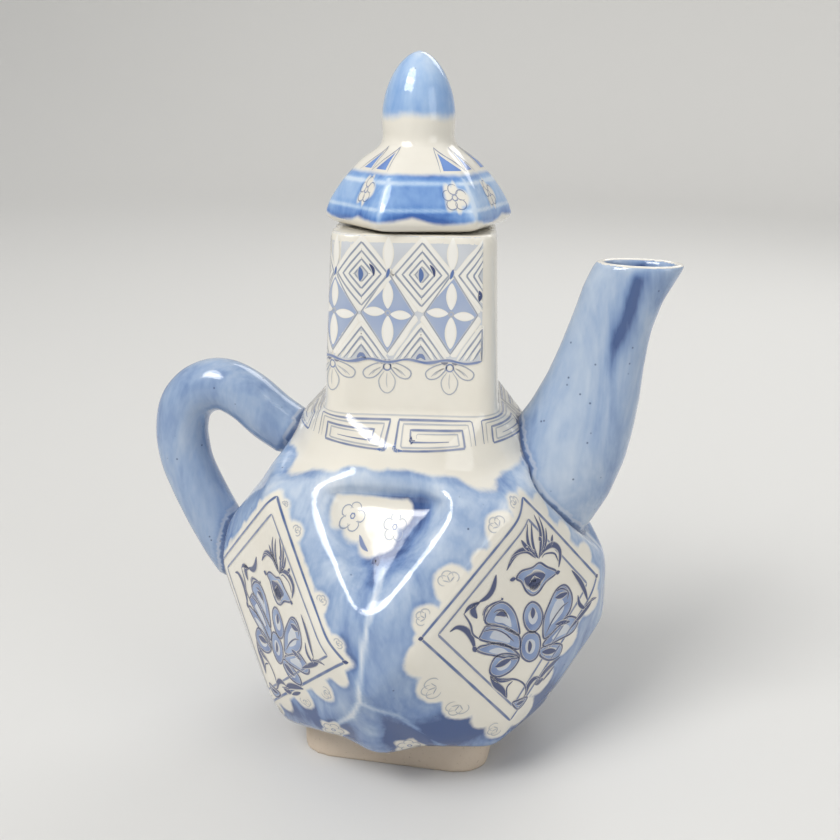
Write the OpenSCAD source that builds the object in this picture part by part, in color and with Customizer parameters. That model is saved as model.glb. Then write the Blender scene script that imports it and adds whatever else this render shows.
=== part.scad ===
// Lidded pouring pot in glazed porcelain: a square neck on a body with four
// large diamond panels, a curved spout, a loop handle and a six-sided lid
// that lifts off. Millimetres, +Z up, spout towards +X, handle towards -X.
// The origin is on the table under the middle of the pot's length.

/* [Body] */
// Distance from the axis to each diamond panel
panel_reach = 57.8; // [56.5:0.1:60]
// Distance from the axis to the soft upright ridge between two panels
ridge_reach = 70; // [69:0.5:72]
// Half the width of a diamond panel, corner to corner
panel_half_w = 39.4; // [38:0.2:40]
// Half the height of a diamond panel, corner to corner
panel_half_h = 38.4; // [37.5:0.1:39]
// Height of the middle of the panels
panel_mid_z = 63.4; // [62.5:0.1:64]
// Height of the flat top of the body, where the shoulder sits
body_top_z = 110; // [109:0.5:111]
// Height of the underside of the body
body_bottom_z = 11; // [10.5:0.5:12]
// Distance from the axis to the edge of the body's top
top_reach = 46; // [45:0.5:47]
// Distance from the axis to the body's low corner under each panel
bottom_reach = 54; // [53:0.5:55]
// Half the length of the top edge of each sunken triangle
pocket_half_w = 20.5; // [19.5:0.5:21]
// Thickness of the porcelain wall
wall = 4.2; // [3.6:0.1:4.6]

/* [Neck and shoulder] */
// Half the width of the neck at its top
neck_top_half = 26.3; // [26:0.1:27.5]
// Half the width of the neck where it meets the shoulder
neck_base_half = 28.5; // [28:0.1:29.5]
// Corner radius of the neck
neck_corner = 8; // [7:0.5:9]
// Twist of the neck on the body, degrees
neck_turn = 9; // [0:0.5:12]
// Height of the top of the neck
neck_top_z = 185; // [184:0.5:186]
// Height where the neck meets the shoulder
neck_base_z = 128; // [127:0.5:129]
// Radius of the round opening in the top of the neck
mouth_r = 18; // [17.4:0.1:18.4]

/* [Foot] */
// Half the width of the square foot
foot_half = 33.4; // [32.5:0.1:34]
// Corner radius of the foot
foot_corner = 11; // [10:0.5:12]
// Width of the foot ring
foot_ring_w = 6; // [5:0.5:7]

/* [Spout] */
// Height of the level mouth of the spout
spout_mouth_z = 176.5; // [175:0.5:178]
// Thickness of the spout wall
spout_wall = 3.4; // [3:0.1:3.6]

/* [Handle] */
// Thickness of the handle
handle_d = 18.8; // [18:0.2:19.4]

/* [Lid] */
// Largest reach of the lid's six soft corners
lid_reach = 31.8; // [31:0.1:32.5]
// Gap between the lid and the top of the neck
lid_gap = 0.4; // [0.3:0.05:0.6]
// Turn of the lid about the axis, degrees
lid_turn = 47; // [30:1:90]
// How far the loose lid sits off the axis, towards the spout
lid_shift = 0.8; // [0:0.1:0.9]
// Outer radius of the collar that keeps the lid in place
collar_r = 16.4; // [16:0.1:16.6]
// Depth of the collar below the lid
collar_depth = 10; // [8:0.5:12]
// Height of the finial above the lid
finial_h = 29; // [28:0.5:30]

/* [Hidden] */

axis_x = 3.39;        // the pot's axis, forward of the middle of its length

glaze_white = [0.93, 0.92, 0.88];
glaze_blue = [0.55, 0.66, 0.83];
biscuit = [0.87, 0.83, 0.77];

edge_round = 6;       // rounding at the body's corners
ridge_round = 5;      // rounding along the upright ridges
ridge_low_z = 50;     // lower end of each ridge
ridge_high_z = 74;    // upper end of each ridge
luting = 1.6;         // how far the foot is pressed into the body
passage_r = 7;        // hole through the wall behind the spout
passage_z = 96;       // height of that hole
ball_fn = 20;         // facets of the small rounding balls
round_fn = 64;        // facets of exact round parts

shoulder_r = 42;      // shoulder radius where it sits on the body
shoulder_mid_r = 38.5; // shoulder radius half way up
shoulder_mid_z = 119;
lid_z = neck_top_z + lid_gap;
lid_h = 25.7;         // height of the lid's dome
finial_z = lid_z + lid_h;
finial_r = 12.6;      // widest radius of the finial
waist_r = 11.2;       // radius where the finial meets the lid

// Stations along the spout: [x, z, lean in degrees, length, width]
spout_stations = [
    [47, 88, 52, 31, 29], [49, 97, 42, 37, 33], [52, 106, 31, 39.5, 34],
    [55.2, 115, 20, 38.5, 32], [58.3, 124, 15, 35.5, 28.5],
    [61.2, 134, 12, 32, 25], [63.5, 145, 10, 28.6, 22.5],
    [66, 156, 10, 26.4, 21], [69, 166, 9, 26.6, 20],
    [74, 176, 0, 29, 19.5]];

// Middle line of the handle: [x, z]
handle_line = [
    [-41, 108], [-50.5, 113.5], [-60, 121], [-69, 125], [-77.5, 123.2],
    [-83.6, 117], [-86, 108], [-85.2, 98], [-82, 88], [-77.6, 79],
    [-72.8, 70], [-67, 60]];

// Outline of the lid's corners: [reach, height above the lid's underside]
lid_profile = [[0.9, 1.9], [0.995, 3.6], [0.955, 6.9], [0.82, 13.1],
               [0.64, 19.1], [0.45, 22.6]];

module quarter_turns() {
    for (a = [0:90:270]) rotate([0, 0, a]) children();
}

module ball(r) {
    sphere(r = r, $fn = ball_fn);
}

// Rounded square slice of half-width h and corner radius r
module soft_square(h, r, thick, turn = 0) {
    rotate([0, 0, turn]) linear_extrude(thick) offset(r) square(2 * (h - r), center = true);
}

// The pot's outer form, pulled in by inset for the hollow inside
module body_form(inset = 0) {
    er = edge_round - inset;
    rr = ridge_round - inset / 2;
    half_w = panel_half_w - edge_round / 2;
    half_h = panel_half_h - edge_round / 2;
    hull() quarter_turns() {
        // flat diamond panel facing the diagonal
        rotate([0, 0, 45]) translate([0, -(panel_reach - edge_round), panel_mid_z]) {
            for (s = [-1, 1]) {
                translate([s * half_w, 0, 0]) ball(er);
                translate([0, 0, s * half_h]) ball(er);
            }
        }
        // upright ridge between two panels
        for (z = [ridge_low_z, ridge_high_z])
            translate([0, -(ridge_reach - ridge_round - inset / 2), z]) ball(rr);
        // eight-sided top, and the low edge between two panels
        for (s = [-1, 1]) {
            translate([s * (pocket_half_w - 3), -(top_reach - edge_round), body_top_z - edge_round])
                ball(er);
            translate([s * 18, -(bottom_reach - edge_round - 1.5), body_bottom_z + edge_round + 8])
                ball(er);
            // flat underside over the foot
            translate([s * 20, -(foot_half - 4.4), body_bottom_z + edge_round]) ball(er);
        }
        // low corner under each panel
        rotate([0, 0, 45]) translate([0, -(bottom_reach - edge_round), body_bottom_z + edge_round + 2])
            ball(er);
    }
}

// Sunken triangle under the shoulder, point downwards, on the front
module pocket(grow = 0) {
    hull() {
        for (s = [-1, 1], out = [0, 40])
            translate([s * (pocket_half_w - 4.5), -(43 + out), body_top_z - 6.5]) ball(3.5 + grow);
        for (out = [0, 30])
            translate([0, -(67.6 + out), ridge_high_z + 2]) ball(2 + grow);
    }
}

// Plump triangle that rolls down over the foot, on the front
module tongue(inset = 0) {
    hull() {
        translate([0, -(ridge_reach - 8), ridge_low_z - 6]) ball(5 - inset);
        translate([0, -44.5, 25.5]) ball(12 - inset);
        for (s = [-1, 1]) translate([s * 11, -41.5, 22.5]) ball(7.5 - inset);
    }
}

module body_outer() {
    difference() {
        body_form();
        quarter_turns() pocket();
    }
    quarter_turns() tongue();
}

module pot_body() {
    color(glaze_blue) difference() {
        body_outer();
        difference() {
            body_form(wall);
            quarter_turns() pocket(wall);
        }
        quarter_turns() tongue(wall);
        // opening under the neck
        translate([0, 0, body_top_z - 12]) cylinder(r = 31, h = 20, $fn = round_fn);
        // way through the wall into the spout
        translate([35, 0, passage_z]) rotate([0, 90, 0])
            cylinder(r = passage_r, h = 40, $fn = round_fn);
    }
}

module shoulder_form(inset = 0) {
    top_half = neck_base_half - inset;
    low = inset > 0 ? 1 : 0;
    hull() {
        translate([0, 0, neck_base_z - 1]) soft_square(top_half, neck_corner - inset / 2, 1, neck_turn);
        translate([0, 0, shoulder_mid_z]) cylinder(r = shoulder_mid_r - inset * 1.3, h = 0.5, $fn = round_fn);
    }
    hull() {
        translate([0, 0, shoulder_mid_z]) cylinder(r = shoulder_mid_r - inset * 1.3, h = 0.5, $fn = round_fn);
        translate([0, 0, body_top_z - low]) cylinder(r = shoulder_r - inset * 2.4, h = 0.5, $fn = round_fn);
    }
}

module neck() {
    color(glaze_white) difference() {
        union() {
            shoulder_form();
            hull() {
                translate([0, 0, neck_base_z - 1.5]) soft_square(neck_base_half, neck_corner, 1, neck_turn);
                translate([0, 0, neck_top_z - 1]) soft_square(neck_top_half, neck_corner, 1, neck_turn);
            }
        }
        shoulder_form(wall);
        hull() {
            translate([0, 0, neck_base_z - 2.5]) soft_square(neck_base_half - wall, 5, 1, neck_turn);
            translate([0, 0, neck_top_z - 7]) soft_square(neck_top_half - wall, 5, 1, neck_turn);
        }
        translate([0, 0, neck_top_z - 10]) cylinder(r = mouth_r, h = 12, $fn = round_fn);
    }
}

module foot_ring() {
    color(biscuit) difference() {
        soft_square(foot_half, foot_corner, body_bottom_z + luting);
        translate([0, 0, -1])
            soft_square(foot_half - foot_ring_w, foot_corner - 4, body_bottom_z + 3);
    }
}

module spout_slice(s, inset) {
    translate([s[0], 0, s[1]]) rotate([0, s[2], 0])
        scale([s[3] / 2 - inset, s[4] / 2 - inset, 1]) cylinder(r = 1, h = 0.4, center = true, $fn = 40);
}

module spout_tube(inset = 0) {
    last = len(spout_stations) - 1;
    for (i = [0:last - 1]) hull() {
        spout_slice(spout_stations[i], inset);
        spout_slice(spout_stations[i + 1], inset);
    }
}

module spout() {
    color(glaze_blue) difference() {
        union() {
            spout_tube();
            // root spreading on to the body
            hull() {
                spout_slice(spout_stations[0], 0);
                translate([58, 0, 80]) ball(5);
            }
        }
        spout_tube(spout_wall);
        // open ends: level mouth above, way into the pot below
        translate([spout_stations[9][0], 0, spout_mouth_z]) cylinder(r = 30, h = 10);
        translate([74, 0, spout_mouth_z - 2]) scale([10.6, 6.1, 1]) cylinder(r = 1, h = 6, $fn = 40);
        translate([30, 0, passage_z]) rotate([0, 90, 0]) cylinder(r = passage_r, h = 24, $fn = round_fn);
        body_outer();
        shoulder_form();
    }
}

module handle() {
    last = len(handle_line) - 1;
    color(glaze_blue) difference() {
        for (i = [0:last - 1]) hull() for (j = [i, i + 1])
            translate([handle_line[j][0], 0, handle_line[j][1]]) ball(handle_d / 2);
        body_outer();
        shoulder_form();
    }
}

// Six balls at the corners of the lid at one height
module lid_ring(k, h, inset) {
    r = 3;
    for (a = [0:60:300]) rotate([0, 0, a])
        translate([0, -(lid_reach * k - r - inset), lid_z + h]) ball(r);
}

module lid_form(inset = 0) {
    last = len(lid_profile) - 1;
    hull() {
        for (p = lid_profile) lid_ring(p[0], max(p[1] - inset / 2, 3.05), inset);
        translate([0, 0, lid_z + 0.01]) rotate([0, 0, 30])
            cylinder(r = lid_reach * 0.86 - inset, h = 0.2, $fn = 6);
        if (inset == 0) translate([0, 0, finial_z - 0.5]) cylinder(r = 11.4, h = 0.5, $fn = round_fn);
    }
}

module lid_cap() {
    color(glaze_white) translate([lid_shift, 0, 0]) rotate([0, 0, lid_turn]) difference() {
        lid_form();
        difference() {
            lid_form(wall - 0.4);
            translate([-50, -50, lid_z - 1]) cube([100, 100, 4.4]);
        }
        translate([0, 0, lid_z - 1]) cylinder(r = collar_r - 3.6, h = 8, $fn = round_fn);
    }
}

module lid_collar() {
    color(biscuit) translate([lid_shift, 0, lid_z - collar_depth]) difference() {
        cylinder(r = collar_r, h = collar_depth, $fn = round_fn);
        translate([0, 0, -1]) cylinder(r = collar_r - 3.2, h = collar_depth + 2, $fn = round_fn);
    }
}

// Radius of the finial at a fraction t of its height
function finial_bulge(t) = finial_r * pow(1 - pow(t, 2.6), 0.62) - (finial_r - waist_r) * pow(1 - t, 5);

module finial() {
    color(glaze_blue) translate([lid_shift - 0.6, 0, finial_z]) rotate_extrude($fn = round_fn) polygon(concat(
        [[0, 0], [waist_r, 0]],
        [for (a = [6:6:84]) [finial_bulge(sin(a)), finial_h * sin(a)]],
        [[0, finial_h]]));
}

module placed() {
    translate([axis_x, 0, 0]) children();
}

placed() pot_body();
placed() neck();
placed() foot_ring();
placed() spout();
placed() handle();
placed() lid_cap();
placed() lid_collar();
placed() finial();
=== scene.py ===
"""Blue and white porcelain pot: looks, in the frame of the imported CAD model."""
import math

import bmesh
import bpy
import numpy as np
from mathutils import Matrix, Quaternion, Vector, geometry, noise
from mathutils.bvhtree import BVHTree


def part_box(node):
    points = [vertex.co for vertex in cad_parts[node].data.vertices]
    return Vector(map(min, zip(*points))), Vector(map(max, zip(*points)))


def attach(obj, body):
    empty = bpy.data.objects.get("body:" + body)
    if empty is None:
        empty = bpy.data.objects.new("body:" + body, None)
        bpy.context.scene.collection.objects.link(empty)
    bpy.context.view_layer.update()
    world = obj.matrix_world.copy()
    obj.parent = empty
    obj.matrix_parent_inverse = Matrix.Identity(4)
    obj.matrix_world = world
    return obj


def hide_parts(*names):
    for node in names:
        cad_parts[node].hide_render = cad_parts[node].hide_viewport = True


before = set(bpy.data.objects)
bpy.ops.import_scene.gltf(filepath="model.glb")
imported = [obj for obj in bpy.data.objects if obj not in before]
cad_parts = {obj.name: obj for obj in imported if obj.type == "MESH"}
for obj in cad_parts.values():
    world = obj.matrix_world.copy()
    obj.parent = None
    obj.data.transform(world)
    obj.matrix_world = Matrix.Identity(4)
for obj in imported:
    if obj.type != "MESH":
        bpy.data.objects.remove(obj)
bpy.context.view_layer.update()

MM = 0.001
foot_lo, foot_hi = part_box("foot_ring")
lid_lo, lid_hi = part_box("lid_collar")
AXIS = Vector(((foot_lo.x + foot_hi.x) / 2 / MM, 0, 0))
LID_AXIS = Vector(((lid_lo.x + lid_hi.x) / 2 / MM, 0, 0))


# ---------------------------------------------------------------- camera, floor, light
CAMERA_ANGLES = (11.0, 17.3, 0.95)      # to the right of the front, above it, and roll; degrees
CAMERA_AWAY = 402                       # mm from the point it looks at
CAMERA_AIM = (2.2, 117)                 # that point: mm right of the pot's axis, and its height
CAMERA_LENS = 1152 / 840                # focal length over the picture's width
WARM, COOL = (1, 0.985, 0.96), (0.96, 0.98, 1)


def add(name, data):
    """A new object in the scene."""
    ob = bpy.data.objects.new(name, data)
    bpy.context.collection.objects.link(ob)
    return ob


def look(ob, way, roll=0.0):
    """Point a lamp or the camera along a direction."""
    ob.rotation_mode = "QUATERNION"
    ob.rotation_quaternion = way.to_track_quat("-Z", "Y") @ Quaternion((0, 0, 1), roll)


def camera():
    az, el, roll = (math.radians(a) for a in CAMERA_ANGLES)
    back = Vector((math.sin(az) * math.cos(el), -math.cos(az) * math.cos(el), math.sin(el)))
    right = Vector((math.cos(az), math.sin(az), 0))
    target = AXIS + Vector((0, 0, CAMERA_AIM[1])) + right * CAMERA_AIM[0]
    data = bpy.data.cameras.new("camera")
    data.sensor_width, data.lens = 36, 36 * CAMERA_LENS
    data.clip_start, data.clip_end = 0.02, 50
    cam = add("camera", data)
    cam.location = (target + back * CAMERA_AWAY) * MM
    look(cam, -back, roll)
    bpy.context.scene.camera = cam


def srgb(r, g, b):
    """Linear colour from 0-255 screen values."""
    def lin(c):
        c /= 255
        return c / 12.92 if c <= 0.04045 else ((c + 0.055) / 1.055) ** 2.4
    return (lin(r), lin(g), lin(b), 1.0)


def area_light(name, at, aim, size, watts, colour=(1, 1, 1)):
    data = bpy.data.lights.new(name, "AREA")
    data.shape, data.size, data.size_y = "RECTANGLE", size[0], size[1]
    data.energy, data.color = watts, colour
    ob = add(name, data)
    ob.location = at
    look(ob, Vector(aim) - Vector(at))


def swept_floor():
    """A pale floor that sweeps up to a low wall all round, in metres."""
    flat, sweep, wall, sides = 1.7, 0.9, 2.4, 96
    profile = [(flat, 0.0)]
    for a in range(10, 91, 10):
        s, c = math.sin(math.radians(a)), math.cos(math.radians(a))
        profile.append((flat + sweep * s, sweep - sweep * c))
    profile.append((flat + sweep, wall))
    turns = [2 * math.pi * i / sides for i in range(sides)]
    verts = [(0, 0, 0)] + [(r * math.cos(t), r * math.sin(t), h) for r, h in profile for t in turns]
    faces = [(0, 1 + i, 1 + (i + 1) % sides) for i in range(sides)]
    for k in range(len(profile) - 1):
        a, b = 1 + k * sides, 1 + (k + 1) * sides
        faces += [(a + i, b + i, b + (i + 1) % sides, a + (i + 1) % sides) for i in range(sides)]
    me = bpy.data.meshes.new("floor")
    me.from_pydata(verts, [], faces)
    me.shade_smooth()
    floor = add("floor", me)
    mat, t = new_material("floor")
    t.shader.inputs["Base Color"].default_value = srgb(222, 221, 218)
    t.shader.inputs["Roughness"].default_value = 0.75
    t.shader.inputs["Specular IOR Level"].default_value = 0.2
    me.materials.append(mat)


def studio():
    """Soft light from a grey sky, three panels and a wide window."""
    bpy.context.scene.view_settings.view_transform = "Standard"
    world = bpy.data.worlds.new("studio")
    bpy.context.scene.world = world
    world.use_nodes = True
    colour, strength = world.node_tree.nodes["Background"].inputs[:2]
    colour.default_value, strength.default_value = (0.86, 0.88, 0.92, 1), 0.55
    area_light("key", (-0.45, -0.75, 0.95), (0, 0, 0.12), (0.55, 0.4), 5.5, WARM)
    area_light("fill", (0.95, -0.6, 0.55), (0, 0, 0.1), (0.5, 0.8), 2.0, COOL)
    area_light("back", (0.3, 0.95, 0.9), (0, 0, 0.12), (0.8, 0.5), 3.0)
    sun = bpy.data.lights.new("window", "SUN")
    sun.energy, sun.angle, sun.color = 1.1, math.radians(28), WARM
    look(add("window", sun), Vector((0.45, 0.62, -1.0)))
    swept_floor()


# ---------------------------------------------------------------- materials
class Tree:
    """Short names for building a shader tree."""

    def __init__(self, mat):
        self.nodes, self.links = mat.node_tree.nodes, mat.node_tree.links
        self.shader = self.nodes["Principled BSDF"]

    def node(self, kind, **values):
        n = self.nodes.new(kind)
        for k, v in values.items():
            setattr(n, k, v)
        return n

    def set(self, socket, value):
        if isinstance(value, bpy.types.NodeSocket):
            self.links.new(value, socket)
        else:
            socket.default_value = value

    def math(self, op, a, b=0.0, c=0.0):
        n = self.node("ShaderNodeMath", operation=op)
        for i, v in enumerate((a, b, c)):
            self.set(n.inputs[i], v)
        return n.outputs[0]

    def mix(self, fac, a, b):
        n = self.node("ShaderNodeMix", data_type="RGBA")
        for i, v in ((0, fac), (6, a), (7, b)):     # 6, 7 and output 2 are its colour sockets
            self.set(n.inputs[i], v)
        return n.outputs[2]

    def ramp(self, fac, stops):
        n = self.node("ShaderNodeValToRGB")
        els = n.color_ramp.elements
        while len(els) < len(stops):
            els.new(0.5)
        for e, (at, colour) in zip(els, stops):
            e.position, e.color = at, colour
        self.set(n.inputs[0], fac)
        return n.outputs[0]

    def step(self, value, start, end):
        n = self.node("ShaderNodeMapRange", interpolation_type="SMOOTHSTEP")
        self.set(n.inputs[0], value)
        n.inputs[1].default_value, n.inputs[2].default_value = start, end
        return n.outputs[0]

    def attribute(self, name):
        return self.node("ShaderNodeAttribute", attribute_name=name)

    def red(self, colour):
        n = self.node("ShaderNodeSeparateColor")
        self.set(n.inputs[0], colour)
        return n.outputs[0]

    def noise(self, scale, detail=3.0, rough=0.55, stretch=None, warp=0.0):
        """Noise in object space; scale is in features per metre."""
        if not hasattr(self, "coords"):
            self.coords = self.node("ShaderNodeTexCoord").outputs["Object"]
        vec = self.coords
        if stretch:
            m = self.node("ShaderNodeMapping")
            self.set(m.inputs["Vector"], vec)
            m.inputs["Scale"].default_value = stretch
            vec = m.outputs[0]
        n = self.node("ShaderNodeTexNoise")
        self.set(n.inputs["Vector"], vec)
        for k, v in (("Scale", scale), ("Detail", detail), ("Roughness", rough), ("Distortion", warp)):
            n.inputs[k].default_value = v
        return n.outputs["Fac"]

    def bump(self, height, strength, distance):
        n = self.node("ShaderNodeBump")
        n.inputs["Strength"].default_value = strength
        n.inputs["Distance"].default_value = distance
        self.set(n.inputs["Height"], height)
        self.set(self.shader.inputs["Normal"], n.outputs[0])


def new_material(name):
    mat = bpy.data.materials.new(name)
    mat.use_nodes = True
    return mat, Tree(mat)


def blue_ramp(*stops):
    """Colour stops from (place, red, green, blue)."""
    return [(at, srgb(*colour)) for at, *colour in stops]


CREAM = srgb(236, 233, 224)
CREAM_WARM = srgb(226, 220, 206)
POT_BLUE = blue_ramp((0.0, 212, 220, 230), (0.26, 182, 198, 219), (0.5, 150, 172, 204),
                     (0.75, 110, 138, 184), (1.0, 58, 84, 136))
TUBE_BLUE = blue_ramp((0.0, 200, 210, 222), (0.3, 174, 190, 211), (0.55, 146, 168, 200),
                      (0.8, 112, 138, 180), (1.0, 66, 90, 138))
LID_BLUE = blue_ramp((0.0, 206, 222, 240), (0.3, 168, 196, 230), (0.55, 134, 170, 218),
                     (0.8, 98, 140, 202), (1.0, 62, 102, 172))


def glaze(name, blues, wander=2.2, streaks=(1, 1, 0.35), specks=0.3):
    """Glossy clear glaze over cream porcelain. Attributes: wash is how far inside the
    blue a point lies, in mm; deep is how strong the blue is, with painted shade
    added on the pot; edge is where it thins on a ridge, with a painted highlight along the
    pot's front ridges; seam is the distance to a luted joint; ink is painted colour."""
    mat, t = new_material(name)
    waves = t.math("MULTIPLY_ADD", t.noise(170, 3), wander, -wander / 2)
    inside_blue = t.math("ADD", t.attribute("wash").outputs["Fac"], waves)
    cover = t.step(inside_blue, -0.8, 0.9)
    rim = t.math("SUBTRACT", t.step(inside_blue, -0.2, 0.6), t.step(inside_blue, 0.8, 2.6))
    clay = t.mix(t.noise(45, 2), CREAM, CREAM_WARM)
    tone = t.math("MULTIPLY_ADD", t.noise(48, 4, 0.6, streaks, 0.8), 1.5, -0.52)
    tone = t.math("ADD", tone, t.math("MULTIPLY_ADD", t.noise(330, 3, 0.6, streaks), 0.34, -0.17))
    tone = t.math("ADD", tone, t.attribute("deep").outputs["Fac"])
    tone = t.math("MULTIPLY_ADD", rim, 0.12, tone)
    tone = t.math("MULTIPLY_ADD", t.attribute("edge").outputs["Fac"], -0.5, tone)
    colour = t.mix(cover, clay, t.ramp(tone, blues))
    # cobalt specks under the glaze
    cells = t.node("ShaderNodeTexVoronoi", feature="F1")
    t.set(cells.inputs["Vector"], t.coords)
    cells.inputs["Scale"].default_value = 260
    near = t.math("SUBTRACT", 1.0, t.step(cells.outputs["Distance"], 0.03, 0.14))
    rare = t.math("GREATER_THAN", t.red(cells.outputs["Color"]), 1 - 0.35 * specks)
    spots = t.math("MULTIPLY", t.math("MULTIPLY", near, rare), cover)
    colour = t.mix(t.math("MULTIPLY", spots, 0.75), colour, srgb(40, 56, 98))
    # joints: slip line, then a thread of blue caught in the corner
    drift = t.math("MULTIPLY_ADD", t.noise(220, 2), 0.8, -0.4)
    seam = t.math("ADD", t.attribute("seam").outputs["Fac"], drift)
    slip = t.math("SUBTRACT", t.step(seam, 0.6, 1.2), t.step(seam, 1.6, 2.6))
    colour = t.mix(t.math("MULTIPLY", slip, 0.28), colour, CREAM)
    thread = t.math("SUBTRACT", 1.0, t.step(seam, 0.2, 1.0))
    colour = t.mix(t.math("MULTIPLY", thread, 0.6), colour, srgb(70, 88, 130))
    ink = t.attribute("ink")
    colour = t.mix(ink.outputs["Alpha"], colour, ink.outputs["Color"])
    t.set(t.shader.inputs["Base Color"], colour)
    t.set(t.shader.inputs["Roughness"], t.math("MULTIPLY_ADD", t.noise(90, 2), 0.06, 0.07))
    for k, v in (("IOR", 1.52), ("Coat Weight", 0.35), ("Coat Roughness", 0.03)):
        t.shader.inputs[k].default_value = v
    ripple = t.math("ADD", t.noise(75, 2), t.math("MULTIPLY", t.noise(600, 2), 0.06))
    t.bump(ripple, 0.25, 0.0012)
    return mat


def biscuit(name):
    """Bare fired porcelain: chalky, faintly speckled, a little toasted."""
    mat, t = new_material(name)
    colour = t.mix(t.noise(60, 4), srgb(222, 208, 190), srgb(202, 184, 164))
    colour = t.mix(t.step(t.noise(900, 3, 0.7), 0.6, 0.78), colour, srgb(158, 136, 114))
    t.set(t.shader.inputs["Base Color"], colour)
    t.set(t.shader.inputs["Roughness"], t.math("MULTIPLY_ADD", t.noise(300, 2), 0.2, 0.62))
    t.shader.inputs["Specular IOR Level"].default_value = 0.35
    t.bump(t.noise(1500, 4, 0.65), 0.35, 0.0003)
    return mat


# ---------------------------------------------------------------- meshes
ROOT_PRESSED = 2.6      # mm that the spout's root is pressed into the body


def read(data, what, width=3, kind=np.float32):
    """A property of a mesh as an array with a row for each element."""
    out = np.empty(len(data) * width, kind)
    data.foreach_get(what, out)
    return out.reshape(-1, width)


def move_points(me, co):
    me.vertices.foreach_set("co", co.astype(np.float32).ravel())
    me.update()


def rework(me, operation):
    """One bmesh operation on all faces of a mesh."""
    bm = bmesh.new()
    bm.from_mesh(me)
    operation(bm, faces=bm.faces)
    bm.to_mesh(me)
    bm.free()


def softened(name, nodes, voxel, rounds, weight=None, base=None):
    """One smooth skin round the CAD solids, as slip and glaze leave them. The edge of
    a piece that rests on a base is pressed into it first."""
    bm = bmesh.new()
    for n in nodes:
        bm.from_mesh(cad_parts[n].data)
    rough = bpy.data.meshes.new(name)
    bm.to_mesh(rough)
    bm.free()
    ob = add(name, rough)
    remesh = ob.modifiers.new("remesh", "REMESH")
    remesh.mode, remesh.voxel_size = "VOXEL", voxel * MM
    done = bpy.data.meshes.new_from_object(ob.evaluated_get(bpy.context.evaluated_depsgraph_get()))
    ob.modifiers.clear()
    ob.data = done
    if base:
        press(done, Skin(base), ROOT_PRESSED)
    relax(done, rounds, weight)
    rework(done, bmesh.ops.triangulate)
    bpy.data.meshes.remove(rough)
    done.name = name
    done.shade_smooth()
    return ob


def press(me, base, depth):
    """Push the points of a mesh that lie near a base down into it."""
    co = read(me.vertices, "co")
    p = co / MM - base.axis
    for i in range(len(p)):
        hit, normal, _, far = base.tree.find_nearest(p[i].tolist(), depth * 1.6)
        if hit is not None:
            co[i] -= np.array(normal) * depth * (1 - (far / depth / 1.6) ** 2) * MM
    move_points(me, co)


def relax(me, rounds, weight=None):
    """Even out a mesh; weight(points in mm) says how much of it each point takes."""
    n = len(me.vertices)
    co = read(me.vertices, "co").astype(float)
    a, b = read(me.edges, "vertices", 2, np.int32).T
    count = np.bincount(a, minlength=n) + np.bincount(b, minlength=n)
    share = 0.5 * (np.ones(n) if weight is None else weight(co / MM - np.array(AXIS)))
    for _ in range(rounds):
        for k in range(3):
            c = co[:, k]
            mean = (np.bincount(a, c[b], n) + np.bincount(b, c[a], n)) / count
            co[:, k] = c + share * (mean - c)
    move_points(me, co)


def body_softness(p):
    """The sunken triangles are softest, the neck crispest."""
    t = np.minimum(np.abs(p[:, 0]), np.abs(p[:, 1]))
    low = 0.45 + 0.55 * np.clip((24 - t) / 6, 0, 1) * np.clip((p[:, 2] - 58) / 12, 0, 1)
    return 0.03 + (low - 0.03) * np.clip((117 - p[:, 2]) / 6, 0, 1)


def lid_softness(p):
    """The dome is softest; its lower edge and the finial keep more of their form."""
    above, below = np.clip((217 - p[:, 2]) / 4, 0, 1), np.clip((p[:, 2] - 188) / 4, 0, 1)
    return (0.2 + 0.8 * above) * (0.55 + 0.45 * below)


def heading(p):
    """The direction of a line at each of its points."""
    d = np.gradient(p, axis=0)
    return d / np.maximum(np.hypot(*d.T), 1e-9)[:, None]


def rolled_tube(name, line, radius, sides=56):
    """A round bar along a line of (x, z) points in mm from the axis, thinned at its ends."""
    p = curve(line, 1.0)
    rows = len(p)
    from_end = np.minimum(np.arange(rows), np.arange(rows)[::-1])
    taper = 0.6 + 0.4 * np.clip(from_end / 8, 0, 1)
    verts, faces = [], []
    for i, ((x, z), (dx, dz)) in enumerate(zip(p, heading(p))):
        for k in range(sides):
            a = 2 * math.pi * k / sides
            way = Vector((-dz * math.cos(a), math.sin(a), dx * math.cos(a)))
            r = radius * taper[i] * (1 + 0.03 * noise.noise(Vector((x, z, 0)) * 0.09 + way * 0.8))
            verts.append((AXIS + Vector((x, 0, z)) + way * r) * MM)
    for i in range(rows - 1):
        for k in range(sides):
            a, b = i * sides + k, i * sides + (k + 1) % sides
            faces += [(a, b, b + sides), (a, b + sides, a + sides)]
    for row, flip in ((0, True), (rows - 1, False)):
        ring = [row * sides + k for k in range(sides)]
        faces += [(ring[0], ring[k], ring[k + 1])[::-1 if flip else 1] for k in range(1, sides - 1)]
    me = bpy.data.meshes.new(name)
    me.from_pydata(verts, [], faces)
    rework(me, bmesh.ops.recalc_face_normals)
    me.shade_smooth()
    return add(name, me)


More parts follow.
